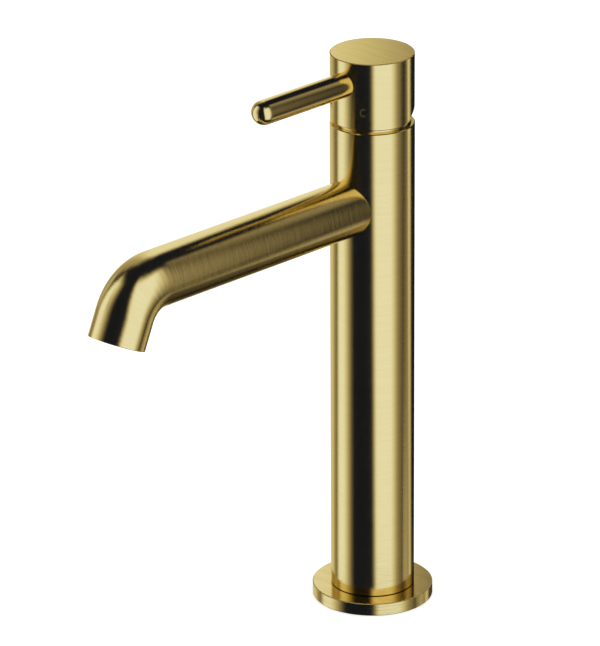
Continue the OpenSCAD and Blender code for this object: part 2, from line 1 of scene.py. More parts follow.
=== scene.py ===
# %% [markdown]
# A tall basin mixer in brushed brass.
#
# The solid pieces of the mixer come ready made and at their real size: the column, the spout,
# the handle and everything inside them. What is left to do here is the look. Most of it is the
# finish, because brushed brass is a mirror that fine scratches have blurred in one direction,
# and a mirror shows nothing but its surroundings. So the lesson spends its time on the grain
# of the metal and on the studio that the metal reflects.

# %% Load the solid pieces
import math

import bpy
import numpy as np
from mathutils import Matrix, Vector


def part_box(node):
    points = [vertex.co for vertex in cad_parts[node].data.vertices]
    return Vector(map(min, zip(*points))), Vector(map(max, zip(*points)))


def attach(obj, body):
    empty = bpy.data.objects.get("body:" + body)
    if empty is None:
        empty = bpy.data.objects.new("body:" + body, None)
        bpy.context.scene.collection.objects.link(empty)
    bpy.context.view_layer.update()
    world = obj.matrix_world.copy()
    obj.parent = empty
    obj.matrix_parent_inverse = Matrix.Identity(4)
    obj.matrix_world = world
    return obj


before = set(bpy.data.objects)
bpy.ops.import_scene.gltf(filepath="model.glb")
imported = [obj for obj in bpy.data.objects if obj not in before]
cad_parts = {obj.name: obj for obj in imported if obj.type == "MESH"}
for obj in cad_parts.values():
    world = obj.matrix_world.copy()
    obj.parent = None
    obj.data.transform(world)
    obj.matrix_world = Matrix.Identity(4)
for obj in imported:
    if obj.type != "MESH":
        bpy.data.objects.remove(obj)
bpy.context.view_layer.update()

# %% [markdown]
# Every size is in metres and is read off the solid pieces where it can be, so the finish
# follows them. The column stands on the origin, and the spout and the lever point along -Y.
# A box doesn't tell how the spout bends, so its three numbers are written down here.

# %% Measure the pieces
MM = 0.001


def low_corner(node):
    """The corner of a piece's box with the smallest x, y and z."""
    return Vector(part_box(node)[0])


def high_corner(node):
    """The corner of a piece's box with the largest x, y and z."""
    return Vector(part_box(node)[1])


head_radius = high_corner("handle_head").x
column_foot = low_corner("column_tube").z
block_underside = low_corner("valve_block").z
spout_top = high_corner("spout_tube")
spout_axis_z = spout_top.z - spout_top.x
spout_run = 161.5 * MM
bend_radius = 22.5 * MM
bend_angle = math.radians(66)
print("head radius", round(head_radius / MM, 2), "mm, spout axis at", round(spout_axis_z / MM, 1))

# %% [markdown]
# The camera stands to the right of the spout, almost three metres away and above the mixer,
# with a long lens. From far away the mixer's upright edges stay almost parallel, as they do on
# a drawing. A wide lens close by would show the same side of the mixer, but the head would
# look swollen and the base small. A lens and its sensor are given in millimetres.

# %% Place the camera
camera_side = math.radians(43.571)
camera_pitch = math.radians(21.603)
camera_turn = math.radians(0.818)
camera_roll = math.radians(-0.338)
camera_distance = 2.700
camera_height = 1.2260
LENS_MM = 303.635
SENSOR_MM = 36.0
FAR_LIMIT = 20.0
camera_place = Vector((math.sin(camera_side), -math.cos(camera_side), 0)) * camera_distance
camera_place.z = camera_height

camera = bpy.data.objects.new("camera", bpy.data.cameras.new("camera"))
bpy.context.scene.collection.objects.link(camera)
bpy.context.scene.camera = camera
bpy.context.scene.view_settings.view_transform = "Standard"
camera.data.lens = LENS_MM
camera.data.sensor_width = SENSOR_MM
camera.data.clip_end = FAR_LIMIT
bearing_turn = Matrix.Rotation(camera_side + camera_turn, 4, "Z")
look_down = Matrix.Rotation(math.pi / 2 - camera_pitch, 4, "X")
level = Matrix.Rotation(camera_roll, 4, "Z")
camera.matrix_world = Matrix.Translation(camera_place) @ bearing_turn @ look_down @ level
print("camera at", [round(c, 3) for c in camera_place])

# %% [markdown]
# Node trees get long and hard to read when every sum is a node made by hand. The two helpers
# here let a material be written the way its maths would be: a wire is a socket that can be
# added, multiplied or raised to a power, and each such step adds its Math node. Everything
# else, such as a noise or a bump, comes from one method that sets the node's own choices first
# and then fills its sockets.
#
# Some finishes differ between a flat top and a side. A face tells which it is by its slope,
# the upward part of its normal: 1 when it looks straight up, 0 on a side.

# %% Shader maths as plain sums
SIDE_SLOPE = 0.6
TOP_SLOPE = 0.8
LEVEL_SLOPE = 0.1


class Wire:
    """An output socket that takes part in sums: each operator adds one Math node."""

    def __init__(self, shader, socket):
        self.shader = shader
        self.socket = socket

    def math(self, operation, first, second):
        """One Math node. A second value of None leaves its second input alone."""
        return self.shader.add("ShaderNodeMath", {"operation": operation}, first, second)

    def __add__(self, other):
        return self.math("ADD", self, other)

    def __sub__(self, other):
        return self.math("SUBTRACT", self, other)

    def __rsub__(self, other):
        return self.math("SUBTRACT", other, self)

    def __mul__(self, other):
        return self.math("MULTIPLY", self, other)

    def __pow__(self, other):
        return self.math("POWER", self, other)

    def __abs__(self):
        return self.math("ABSOLUTE", self, 0.0)

    __radd__ = __add__
    __rmul__ = __mul__


class Shader:
    """A node tree, emptied and then filled by add()."""

    def __init__(self, owner):
        owner.use_nodes = True
        self.tree = owner.node_tree
        self.tree.nodes.clear()

    def add(self, kind, settings=None, *values, out=0, **named):
        """Adds a node: its settings first, then its inputs by place or by name."""
        node = self.tree.nodes.new(kind)
        for key, value in (settings or {}).items():
            if key == "stops":
                self.fill_ramp(node.color_ramp, value)
            else:
                setattr(node, key, value)
        for place, value in enumerate(values):
            self.feed(node.inputs[place], value)
        for name, value in named.items():
            self.feed(node.inputs[name.replace("_", " ")], value)
        return Wire(self, node.outputs[out]) if node.outputs else None

    def feed(self, socket, value):
        """Links a wire to a socket, or sets the socket to a plain value."""
        if isinstance(value, Wire):
            self.tree.links.new(value.socket, socket)
        elif value is not None:
            socket.default_value = value

    def fill_ramp(self, ramp, stops):
        """Sets a colour ramp's stops, each a place from 0 to 1 and a colour."""
        while len(ramp.elements) < len(stops):
            ramp.elements.new(1.0)
        for element, (place, colour) in zip(ramp.elements, stops):
            element.position = place
            element.color = (*colour, 1.0)

    def blend(self, share, first, second):
        """A colour between two colours. The colour inputs of a Mix node are its last two."""
        colours = [c if isinstance(c, Wire) else (*c, 1.0) for c in (first, second)]
        skipped = [None] * 5
        return self.add("ShaderNodeMix", {"data_type": "RGBA"}, share, *skipped, *colours, out=2)

    def step(self, value, start, end):
        """0 before start and 1 after end, with a smooth rise between them."""
        settings = {"interpolation_type": "SMOOTHSTEP"}
        return self.add("ShaderNodeMapRange", settings, value, start, end, 0.0, 1.0)

    def window(self, value, start, full, falling, gone):
        """0 outside start and gone, 1 from full to falling."""
        return self.step(value, start, full) * (1 - self.step(value, falling, gone))

    def split(self, vector):
        """The three parts of a vector."""
        return [self.add("ShaderNodeSeparateXYZ", None, vector, out=part) for part in range(3)]

    def join(self, x, y, z):
        """A vector from its three parts."""
        return self.add("ShaderNodeCombineXYZ", None, x, y, z)

    def noise(self, place, scale, detail, seed):
        """Noise from 0 to 1. scale says how often a metre it changes, one number or one an axis."""
        scale = scale if isinstance(scale, tuple) else (scale,) * 3
        stretched = self.add("ShaderNodeMapping", None, place, Scale=scale, Location=(seed,) * 3)
        return self.add("ShaderNodeTexNoise", None, Vector=stretched, Scale=1.0, Detail=detail)

    def spot(self):
        """Where a point is on its piece."""
        return self.add("ShaderNodeTexCoord", None, out="Object")

    def slope(self):
        """The upward part of a face's normal: 1 straight up, 0 on a side, -1 straight down."""
        return self.split(self.add("ShaderNodeTexCoord", None, out="Normal"))[2]

    def flatness(self):
        """1 on a face that looks straight up or down, and 0 on a side."""
        return self.step(abs(self.slope()), SIDE_SLOPE, TOP_SLOPE)

    def upward(self):
        """1 on a face that looks up at all, and 0 on one that looks down."""
        return self.step(self.slope(), 0.0, LEVEL_SLOPE)

    def for_camera(self):
        """1 where the camera itself looks, and 0 for light on its way from piece to piece."""
        return self.add("ShaderNodeLightPath", None, out="Is Camera Ray")

    def surface(self, **sockets):
        """Ends the tree with a Principled surface."""
        body = self.add("ShaderNodeBsdfPrincipled", None, **sockets)
        self.add("ShaderNodeOutputMaterial", None, body)

    def bump(self, height, depth):
        """A normal tilted by a height from 0 to 1, depth metres high."""
        return self.add("ShaderNodeBump", None, Strength=1.0, Distance=depth, Height=height)


def finish_named(name):
    """A new material and the shader that fills it."""
    material = bpy.data.materials.new(name)
    return material, Shader(material)


# %% [markdown]
# A round metal column is a very wide mirror: its left edge shows what is behind it on the left,
# its middle shows the camera's side, and its right edge what is behind on the right. Studios
# use this. They stand tall white screens and black cards round the product, and each one
# becomes a stripe down the metal. The black stripe is what tells the eye that this is metal.
#
# The screens are painted on a dome that only the metal's reflections see. A place on the dome
# has a bearing, which is 0 on the camera's side and grows to the right, and a height, and both
# are in degrees. Because the dome is well under a metre away and not endlessly far, a stripe
# drifts a little along the spout, and a flat face shades from one side to the other. Matt
# pieces and the floor see plain light from the sky instead, and the camera itself sees white.
#
# Bright screens look like daylight, and what is left of their light in the room is warmer, so
# the colour of a place on the dome follows from its brightness.
#
# The list gives each screen's brightness, then the bearings at which it starts, is full, starts
# to fall and has gone, then the same for its height, and last how far its first and its last
# edge lean to the right for each degree of height. Two strong screens stand on the right and
# on the left, and two softer ones behind, each in an upper and a lower sheet whose edges
# differ. The rest are small cards that fill single stripes, and faint light near the floor.

# %% Build the studio round the mixer
SCREENS = [
    # in front on the right, and far round on the left
    (0.98, (-7, 8, 49, 86), (-44, -36, 50, 69), (-0.17, 0.0)),
    (0.97, (-112, -97, -86, -48), (-44, -36, 42, 56), (0.17, 0.05)),
    # behind: the upper sheets and the lower sheets
    (0.50, (165, 182, 190, 220), (16, 24, 50, 72), (0.12, 0.15)),
    (0.42, (165, 182, 222, 252), (16, 24, 56, 80), (0.12, 0.15)),
    (0.50, (172, 184, 190, 220), (-44, -37, 16, 24), (0.0, 0.15)),
    (0.42, (172, 184, 222, 252), (-44, -37, 16, 24), (0.0, 0.15)),
    # cards behind on the left
    (0.28, (200, 214, 224, 246), (-54, -40, -14, 4), (0.0, 0.0)),
    (0.38, (228, 240, 250, 260), (-4, 6, 22, 34), (0.0, 0.0)),
    (0.15, (232, 240, 246, 254), (-54, -40, -14, 4), (0.0, 0.0)),
    # cards on the right
    (0.15, (70, 80, 80, 93), (-46, -37, 50, 64), (0.0, 0.0)),
    (0.27, (93, 113, 113, 122), (-44, -37, -2, 8), (0.2, 0.0)),
    (0.15, (84, 98, 106, 118), (-42, -36, -31, -23), (0.0, 0.0)),
    (0.42, (92, 112, 118, 150), (0, 7, 20, 30), (0.0, 0.0)),
    (0.32, (84, 104, 110, 124), (30, 44, 56, 64), (0.0, 0.0)),
    (0.60, (104, 113, 117, 128), (-44, -37, -2, 8), (-0.3, -0.3)),
    # light near the floor
    (0.05, (80, 100, 200, 230), (-54, -44, -38, -30), (0.0, 0.0)),
    (0.045, (60, 95, 200, 240), (-99, -96, -42, -32), (0.0, 0.0)),
]
SHADE = 0.010
TINTS = [
    # brightness, and the red, green and blue that it is multiplied by
    (0.0, (1.0, 1.35, 3.4)),
    (0.012, (1.0, 1.35, 3.4)),
    (0.04, (1.0, 0.95, 1.0)),
    (0.08, (1.0, 0.93, 0.79)),
    (0.30, (1.0, 0.93, 0.79)),
    (0.66, (1.0, 1.04, 0.94)),
    (0.78, (1.0, 1.05, 0.98)),
    (0.89, (1.0, 1.09, 1.22)),
    (0.98, (1.0, 1.145, 1.56)),
]
FULL_TURN = 360.0
DOME_RADIUS = 0.65
DOME_CENTRE = 0.15
DOME_ROWS = 24
DOME_COLUMNS = 48
PLAIN_LIGHT = 0.9
WHITE = (1.0, 1.0, 1.0, 1.0)


def studio_light(shader):
    """Brightness by place: the sum of the screens, each a smooth window in both angles.

    A leaning edge moves with the height: its bearing is taken less the lean times the height.
    """
    x, y, z = shader.split(shader.spot())
    ahead = x * math.sin(camera_side) - y * math.cos(camera_side)
    aside = x * math.cos(camera_side) + y * math.sin(camera_side)
    upward = z - DOME_CENTRE
    level = (ahead * ahead + aside * aside) ** 0.5
    bearing = aside.math("ARCTAN2", aside, ahead) * math.degrees(1)
    from_behind = bearing.math("FLOORED_MODULO", bearing, FULL_TURN)
    height = upward.math("ARCTAN2", upward, level) * math.degrees(1)
    light = SHADE
    for brightness, by_bearing, by_height, leans in SCREENS:
        start, full, falling, gone = by_bearing
        turned = from_behind if gone > FULL_TURN / 2 else bearing
        rise = shader.step(turned - height * leans[0], start, full)
        fall = shader.step(turned - height * leans[1], falling, gone)
        light = rise * (1 - fall) * shader.window(height, *by_height) * brightness + light
    return light


def new_object(name, points, faces):
    """A new object in the scene, from its points and its faces."""
    mesh = bpy.data.meshes.new(name)
    mesh.from_pydata(points.tolist(), [], faces)
    made = bpy.data.objects.new(name, mesh)
    bpy.context.scene.collection.objects.link(made)
    return made


def studio_dome():
    """The inside of a ball: rings of points from pole to pole, the seam and the poles closed."""
    rise = np.linspace(-np.pi / 2, np.pi / 2, DOME_ROWS + 1)[1:-1, None]
    turn = np.linspace(0, 2 * np.pi, DOME_COLUMNS, endpoint=False)[None]
    ring = [np.cos(rise) * np.cos(turn), np.cos(rise) * np.sin(turn), np.sin(rise) + turn * 0]
    points = np.concatenate([np.stack(ring, -1).reshape(-1, 3), [[0, 0, -1], [0, 0, 1]]])
    points = points * DOME_RADIUS + (0, 0, DOME_CENTRE)
    here = np.arange(DOME_COLUMNS)
    after = (here + 1) % DOME_COLUMNS
    below = np.arange(DOME_ROWS - 2)[:, None] * DOME_COLUMNS
    above = below + DOME_COLUMNS
    quads = np.stack([below + here, above + here, above + after, below + after], -1)
    top, low, high = (DOME_ROWS - 2) * DOME_COLUMNS, len(points) - 2, len(points) - 1
    floor_cap = [[low, a, b] for a, b in zip(here.tolist(), after.tolist())]
    roof_cap = [[high, top + b, top + a] for _, a, b in floor_cap]
    faces = quads.reshape(-1, 4).tolist() + floor_cap + roof_cap
    return new_object("studio_dome", points, faces)


def screen_paint():
    """Glows with the studio's light, in a tint that follows from the brightness."""
    material, shader = finish_named("studio_screens")
    light = studio_light(shader)
    tint = shader.add("ShaderNodeValToRGB", {"stops": TINTS}, light)
    glow = shader.add("ShaderNodeVectorMath", {"operation": "SCALE"}, tint, Scale=light)
    screens = shader.add("ShaderNodeEmission", None, glow, 1.0)
    shader.add("ShaderNodeOutputMaterial", None, screens)
    material.cycles.emission_sampling = "NONE"
    return material


def room_light(world):
    """Plain light for matt pieces and the floor, and white for the camera."""
    shader = Shader(world)
    plain = shader.add("ShaderNodeBackground", None, WHITE, PLAIN_LIGHT)
    backdrop = shader.add("ShaderNodeBackground", None, WHITE, 1.0)
    room = shader.add("ShaderNodeMixShader", None, shader.for_camera(), plain, backdrop)
    shader.add("ShaderNodeOutputWorld", None, room)


world = bpy.data.worlds.new("studio")
world.cycles.sampling_method = "NONE"
bpy.context.scene.world = world
room_light(world)
dome = studio_dome()
dome.data.materials.append(screen_paint())
for seen_by in ("camera", "diffuse", "transmission", "volume_scatter", "shadow"):
    setattr(dome, f"visible_{seen_by}", False)
print("screens in the studio:", len(SCREENS))

# %% [markdown]
# The floor is a pale sheet that runs far behind the mixer. It takes the soft shadow under the
# flange. The metal doesn't see it: in a studio the product stands on a small block, so that
# the screens reach below it and their stripes run down to the foot. Seen from below, the sheet
# is clear, so the underside of the flange can be looked at.

# %% Lay the floor
FLOOR_HALF = 6.0
FLOOR_GAP = 0.05 * MM
FLOOR_PAINT = (0.86, 0.86, 0.86, 1.0)
FLOOR_LIFT = 0.46


def lay_floor():
    """A square sheet of 2 x 2 points, a twentieth of a millimetre below the flange."""
    side = np.array([-FLOOR_HALF, FLOOR_HALF])
    x, y = np.meshgrid(side, side)
    points = np.stack([x, y, np.full_like(x, -FLOOR_GAP)], -1).reshape(-1, 3)
    return new_object("floor", points, [(0, 1, 3, 2)])


def pale_floor():
    """Pale paint, lifted to white for the camera, so that only the shadow shows."""
    material, shader = finish_named("pale_floor")
    matt = shader.add("ShaderNodeBsdfDiffuse", None, FLOOR_PAINT)
    lift = shader.add("ShaderNodeEmission", None, WHITE, shader.for_camera() * FLOOR_LIFT)
    sheet = shader.add("ShaderNodeAddShader", None, matt, lift)
    from_below = shader.add("ShaderNodeNewGeometry", None, out="Backfacing")
    clear = shader.add("ShaderNodeBsdfTransparent")
    one_sided = shader.add("ShaderNodeMixShader", None, from_below, sheet, clear)
    shader.add("ShaderNodeOutputMaterial", None, one_sided)
    return material


floor = lay_floor()
floor.data.materials.append(pale_floor())
floor.visible_glossy = False
print("floor laid,", 2 * FLOOR_HALF, "m wide")

# %% [markdown]
# Brushed brass. The tubes were turned against an abrasive belt, so their scratches run round
# them: fine rings, each a few centimetres long before another starts. The flat tops of the
# head and the flange were drawn straight across the belt, so there the scratches are straight
# and stand wider apart.
#
# A scratch pattern is a noise that is stretched hard in one direction. Stretching is done by
# measuring the place on the piece in two ways: fine steps across the scratches and long steps
# along them. So each brushed piece needs a place whose third part runs across its scratches.
# On the column that is the height, and on the spout it is the way along the tube's axis,
# round the bend too.

# %% Say which way the scratches run on each piece
COARSE_BELT = 0.45
BEND_START = 0.001 * MM


def rings_all_over(shader):
    """Rings round Z everywhere: across is the height on the side, and the radius on an end."""
    flat = shader.flatness()
    x, y, z = shader.split(shader.spot())
    radius = (x * x + y * y) ** 0.5
    return shader.join(x, y, z * (1 - flat) + radius * flat)


def rings_and_straight_top(shader):
    """Rings round Z on the side, and straight scratches along X, wider apart, on the top."""
    flat = shader.flatness()
    x, y, z = shader.split(shader.spot())
    return shader.join(x, y * (1 - flat) + z * flat, z * (1 - flat) + y * COARSE_BELT * flat)


def rings_round_the_lever(shader):
    """Rings round Y: across is y all along the bar."""
    x, y, z = shader.split(shader.spot())
    return shader.join(x, z, y)


def rings_along_the_spout(shader):
    """Across is the way along the axis: -y on the run, and run + radius x angle in the bend."""
    x, y, z = shader.split(shader.spot())
    past = -spout_run - y
    above = z - (spout_axis_z - bend_radius)
    angle = past.math("ARCTAN2", past, above)
    in_bend = shader.step(past, -BEND_START, BEND_START)
    way = (angle * bend_radius + spout_run) * in_bend - y * (1 - in_bend)
    outward = (past * past + above * above) ** 0.5
    return shader.join(x, outward * in_bend + above * (1 - in_bend), way)


def rings_along_the_tip(shader):
    """Across is the way along the tip's own axis, which points down by the bend's angle."""
    x, y, z = shader.split(shader.spot())
    forward, down = math.cos(bend_angle), math.sin(bend_angle)
    way = y * -forward - z * down
    return shader.join(x, z * forward - y * down, way)


# %% [markdown]
# The scratches do three things. They tilt the surface a hair, and the rings that took the
# most wear are a little duller and a little paler than the rest. Two sizes of scratch are
# mixed: streaks about a millimetre wide that the eye can follow, and hairs a quarter of that.
# The thick spout took more pressure on the belt than the thin lever, so its scratches are
# deeper.
#
# The mirror below the scratches stays fairly sharp. A dull mirror would be quicker to make,
# but it would blur the black stripe into brown, and the metal would turn to paint.
#
# Any polished surface turns white where it is seen at a glancing angle. Old brass under
# lacquer keeps more of its colour there, and one setting, the tint of the edge, does that.
#
# The sharp upper edges of the head and the flange were broken with a file, which leaves them
# dull. Those narrow faces are found by their slope, halfway between a flat top and a side. The
# column stands on the flange with a fine groove round its foot, where painted shade darkens it.

# %% Mix the brushed brass
BRASS = (0.81, 0.63, 0.255)
BRASS_DEEP = (0.77, 0.59, 0.230)
PLAIN_TONES = (BRASS_DEEP, BRASS)
TOP_TONES = ((0.70, 0.53, 0.200), (0.84, 0.655, 0.270))
EDGE_TINT = (1.0, 0.90, 0.66)
STREAKS = (20.0, 20.0, 700.0)
HAIRS = (90.0, 90.0, 2600.0)
PATCHES = 40.0
SCRATCH_DEPTH = 0.060 * MM
LEVER_SCRATCH_DEPTH = 0.028 * MM
SPOUT_SCRATCH_DEPTH = 0.085 * MM
DEEPEST, BRIGHTEST = 0.32, 0.68
POLISH = 0.09
EDGE_WEAR = 0.85
# Painted shade: the dark colour painted into the fine groove at the column's foot.
GROOVE_PAINTED_SHADE = (0.10, 0.065, 0.02)
GROOVE_HEIGHT = 0.4 * MM
GROOVE_FADE = 0.01 * MM
foot_groove = column_foot + GROOVE_HEIGHT


def brushed_brass(
    name, place_of, depth=SCRATCH_DEPTH, flat_tones=PLAIN_TONES, wear=0.0, groove=None
):
    """Brass with scratches. place_of gives the place with its third part across them.

    Roughness is the polish plus a little for the grain and the patches. wear adds dullness
    where flatness is halfway, which is only so on a broken edge, if the edge looks up. groove
    is the height below which the colour is painted dark, as painted shade in a narrow groove.
    """
    material, shader = finish_named(name)
    place = place_of(shader)
    streaks = shader.noise(place, STREAKS, detail=3.0, seed=3.1)
    hairs = shader.noise(place, HAIRS, detail=2.0, seed=7.7)
    patches = shader.noise(place, PATCHES, detail=2.0, seed=1.3)
    grain = streaks * 0.5 + hairs * 0.5
    shade = grain * 0.8 + patches * 0.2
    worn = shader.add("ShaderNodeMapRange", None, shade, DEEPEST, BRIGHTEST, 0.0, 1.0)
    flat = shader.flatness()
    deep = shader.blend(flat, BRASS_DEEP, flat_tones[0])
    bright = shader.blend(flat, BRASS, flat_tones[1])
    colour = shader.blend(worn, deep, bright)
    dullness = grain * 0.07 + patches * 0.03 + POLISH
    if wear:
        dullness = flat * (1 - flat) * shader.upward() * (4 * wear) + dullness
    # Painted shade: below the groove's top the colour is painted dark, for the shade in the groove.
    if groove:
        height = shader.split(shader.spot())[2]
        above = shader.step(height, groove, groove + GROOVE_FADE)
        colour = shader.blend(above, GROOVE_PAINTED_SHADE, colour)
    shader.surface(
        Base_Color=colour,
        Metallic=1.0,
        Roughness=dullness,
        Specular_Tint=(*EDGE_TINT, 1.0),
        Normal=shader.bump(grain, depth),
    )
    return material


def paint(material, *nodes):
    """Gives a solid piece its finish, in every slot of its mesh."""
    for node in nodes:
        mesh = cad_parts[node].data
        for slot in range(len(mesh.materials)):
            mesh.materials[slot] = material
    print(material.name, "on", ", ".join(nodes))


# The column's material paints shade into the groove at its foot.
paint(brushed_brass("brushed_brass_rings", rings_all_over, groove=foot_groove), "column_tube")
paint(brushed_brass("brushed_brass_cover", rings_all_over), "cover_ring")
belted = brushed_brass(
    "brushed_brass_belted", rings_and_straight_top, flat_tones=TOP_TONES, wear=EDGE_WEAR
)
paint(belted, "handle_head", "base_flange")
bar_brass = brushed_brass("brushed_brass_lever", rings_round_the_lever, LEVER_SCRATCH_DEPTH)
paint(bar_brass, "lever_bar", "screw_plug")
paint(brushed_brass("brushed_brass_spout", rings_along_the_spout, SPOUT_SCRATCH_DEPTH), "spout_tube")
paint(brushed_brass("brushed_brass_tip", rings_along_the_tip, SPOUT_SCRATCH_DEPTH), "outlet_sleeve")

# %% [markdown]
# Inside the column nothing is brushed. The valve block, the nut and the spindle are brass
# straight off the lathe: rings again, but wider and deeper than scratches, because a cutting
# tool moves a tenth of a millimetre or two with each turn, and the metal between them is
# bright. Raw brass also tarnishes in soft patches, which the lacquered outside can't.

# %% Turn the raw brass
RAW_BRASS = (0.78, 0.57, 0.22)
TARNISH = (0.52, 0.35, 0.12)
TOOL_STEP = 0.18 * MM
TOOL_DEPTH = 0.0015 * MM
CHATTER = (60.0, 60.0, 900.0)
CHATTER_SWAY = 3.0
TARNISH_PATCHES = 90.0


def turned_metal(name, clean, tarnished, dullness):
    """Lathe marks: a wave across the rings with one crest a tool step, and soft tarnish.

    The wave's height is the sine of a full turn a tool step, and a noise sways it a little.
    """
    material, shader = finish_named(name)
    place = rings_all_over(shader)
    across = shader.split(place)[2]
    wander = shader.noise(place, CHATTER, detail=2.0, seed=2.2)
    phase = across * (2 * math.pi / TOOL_STEP) + wander * CHATTER_SWAY
    groove = phase.math("SINE", phase, None)
    patches = shader.noise(place, TARNISH_PATCHES, detail=4.0, seed=5.5)
    tarnish = shader.step(patches, start=0.45, end=0.75)
    shader.surface(
        Base_Color=shader.blend(tarnish * 0.7, clean, tarnished),
        Metallic=1.0,
        Roughness=tarnish * 0.15 + wander * 0.08 + dullness,
        Normal=shader.bump(groove * 0.5 + wander, TOOL_DEPTH),
    )
    return material


print("tool step", TOOL_STEP / MM, "mm")

# %% [markdown]
# The small parts inside are moulded or bought in. Each finish says how its part was made: a
# moulded plastic has a faint orange peel and soft flow streaks, rubber is matt with a dusting
# of the powder that lets it out of its mould, lapped ceramic is close to a mirror but milky,
# and drawn steel has lines along the way it was pulled. None of them repeats, and each one is
# felt more than seen.

# %% Mix the finishes of the inside parts
GREY_TONES = ((0.36, 0.37, 0.39), (0.30, 0.31, 0.33))
WHITE_TONES = ((0.80, 0.80, 0.76), (0.72, 0.71, 0.66))
RED_TONES = ((0.50, 0.028, 0.022), (0.38, 0.018, 0.015))
RUBBER, BLOOM = (0.018, 0.018, 0.019), (0.060, 0.058, 0.055)
CERAMIC, SPECK = (0.84, 0.82, 0.77), (0.62, 0.60, 0.55)
STEEL, STEEL_SMEAR = (0.55, 0.55, 0.56), (0.68, 0.68, 0.70)
LINES_APART, LINES_ALONG = 2200.0, 60.0


def moulded_plastic(name, light, dark, dullness):
    """Plastic out of a mould: soft flow streaks in the colour and orange peel in the surface."""
    material, shader = finish_named(name)
    place = shader.spot()
    flow = shader.noise(place, (60.0, 60.0, 240.0), detail=3.0, seed=4.4)
    peel = shader.noise(place, 1100.0, detail=2.0, seed=8.1)
    shader.surface(
        Base_Color=shader.blend(shader.step(flow, start=0.35, end=0.7), light, dark),
        Roughness=peel * 0.10 + flow * 0.06 + dullness,
        IOR=1.5,
        Normal=shader.bump(peel, depth=0.008 * MM),
    )
    return material


def dusty_rubber(name):
    """Black rubber: matt, with a paler bloom in patches and a fine grain."""
    material, shader = finish_named(name)
    place = shader.spot()
    powder = shader.noise(place, 220.0, detail=5.0, seed=6.2)
    bloom = shader.step(powder, start=0.48, end=0.72)
    grain = shader.noise(place, 2400.0, detail=2.0, seed=9.4)
    shader.surface(
        Base_Color=shader.blend(bloom * 0.5, RUBBER, BLOOM),
        Roughness=bloom * 0.15 + grain * 0.12 + 0.60,
        IOR=1.52,
        Normal=shader.bump(grain, depth=0.012 * MM),
    )
    return material


def lapped_ceramic(name):
    """Ceramic ground flat and polished: milky white with faint specks and crossing hairlines."""
    material, shader = finish_named(name)
    place = shader.spot()
    grains = shader.noise(place, 2600.0, detail=3.0, seed=2.9)
    specks = shader.step(grains, start=0.62, end=0.74)
    lines = shader.noise(place, (300.0, 5200.0, 300.0), detail=2.0, seed=7.0)
    crossing = shader.noise(place, (5200.0, 300.0, 300.0), detail=2.0, seed=3.3)
    shader.surface(
        Base_Color=shader.blend(specks * 0.5, CERAMIC, SPECK),
        Roughness=lines * 0.05 + crossing * 0.05 + 0.12,
        IOR=1.7,
        Normal=shader.bump(lines * 0.5 + crossing * 0.5, depth=0.0005 * MM),
    )
    return material


def drawn_steel(name, along):
    """Stainless steel with lines along one axis, given as 0, 1 or 2."""
    material, shader = finish_named(name)
    stretch = tuple(LINES_ALONG if axis == along else LINES_APART for axis in range(3))
    place = shader.spot()
    lines = shader.noise(place, stretch, detail=3.0, seed=5.9)
    smears = shader.noise(place, 160.0, detail=3.0, seed=1.7)
    shader.surface(
        Base_Color=shader.blend(smears * 0.6 + lines * 0.4, STEEL, STEEL_SMEAR),
        Metallic=1.0,
        Roughness=lines * 0.12 + smears * 0.08 + 0.16,
        Normal=shader.bump(lines, depth=0.002 * MM),
    )
    return material


turned = turned_metal("raw_brass_turned", RAW_BRASS, TARNISH, dullness=0.16)
paint(turned, "valve_block", "retaining_nut", "spindle")
paint(drawn_steel("steel_drawn_upright", along=2), "tie_screws")
paint(drawn_steel("steel_drawn_across", along=0), "pivot_pin", "aerator_screen")
paint(drawn_steel("steel_drawn_along", along=1), "clamp_screw")
paint(dusty_rubber("black_rubber_dusty"), "base_seal", "block_seals", "aerator_washer", "port_seals")
grey = moulded_plastic("grey_plastic_moulded", *GREY_TONES, dullness=0.34)
paint(grey, "aerator_cage", "cartridge_base", "cartridge_housing")
white = moulded_plastic("white_plastic_moulded", *WHITE_TONES, dullness=0.30)
paint(white, "aerator_diffuser", "aerator_grid", "spindle_guide", "disc_carrier")
red = moulded_plastic("red_plastic_moulded", *RED_TONES, dullness=0.28)
paint(red, "limiter_ring")
paint(lapped_ceramic("ceramic_lapped"), "fixed_disc", "moving_disc")

# %% [markdown]
# The two letters on the head tell cold from hot. On the real head they are etched: a laser
# burns the brass until it is dark and matt, and the metal stays level. A letter could be mixed
# into the head's material with sums, but a curved stroke is easier as a thin strip that hugs
# the head, and its edge stays sharp from close by.
#
# A stroke is laid out flat, as a line that runs to the right and up, and then wrapped round
# the head. Its width and its thickness follow from the direction of the line at each point.

# %% Etch the letters for cold and hot
LETTER_HEIGHT = 4.4 * MM
STROKE = 0.62 * MM
PROUD = 0.012 * MM
SUNK = 0.05 * MM
LETTER_SIDE = math.radians(31.35)
LETTER_Z = 0.2829
COLD_WIDTH = 3.6 * MM
COLD_OPENING = 48
HOT_HALF_WIDTH = 1.45 * MM
ARC_POINTS = 60
BAR_POINTS = 12
BURNT_DARK = (0.075, 0.048, 0.018)
BURNT_LIGHT = (0.120, 0.080, 0.030)


def strip_along(path, width):
    """The corners of a strip: at each point of the path two left and two right of it.

    The strip's sides lie half a width from the path, square to the way it runs there.
    """
    way = np.gradient(path, axis=0)
    way /= np.linalg.norm(way, axis=1, keepdims=True)
    square = np.stack([-way[:, 1], way[:, 0]], -1) * width / 2
    left, right = path + square, path - square
    return np.stack([left, left, right, right], 1)


